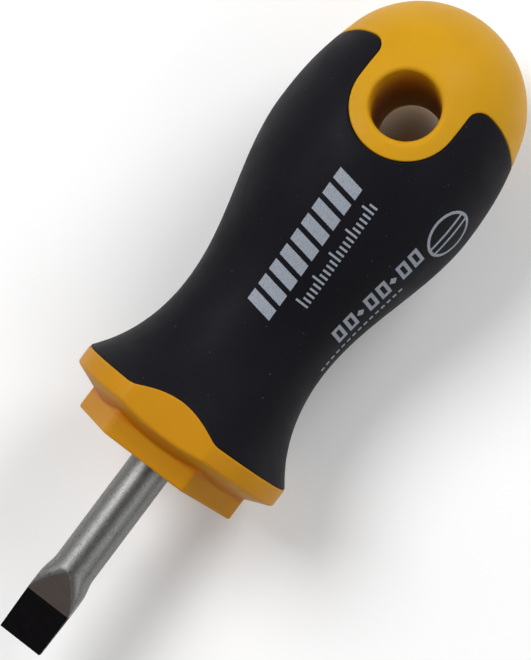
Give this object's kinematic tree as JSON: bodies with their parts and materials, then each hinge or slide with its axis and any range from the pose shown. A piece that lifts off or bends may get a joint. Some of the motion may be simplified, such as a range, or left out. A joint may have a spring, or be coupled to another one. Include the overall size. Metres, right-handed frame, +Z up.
{
  "type": "stubby slotted screwdriver",
  "caption": "Stubby slotted screwdriver: a short round steel blade in a hard plastic handle core with a hexagonal bolster, flange, soft grip and hanging hole.",
  "frame": {"origin": "centre of the blade's end face", "axes": "+X along the tool from the blade's end to the butt, +Y across the blade's width, +Z up out of the hanging hole and the flange's printed-side flat"},
  "size_m": [0.0856, 0.0268, 0.0262],
  "materials": {
    "blade_steel": "satin steel bar, the ground tip blackened",
    "core_plastic": "warm yellow moulded plastic, semi-gloss",
    "grip_rubber": "charcoal thermoplastic rubber, satin with a fine moulded grain",
    "tip_black": "matt black tip coating",
    "print_ink": "silver-grey pad print"
  },
  "bodies": {
    "root": {"blade": "blade_steel", "handle_core": "core_plastic", "soft_grip": "grip_rubber"}
  },
  "joints": []
}
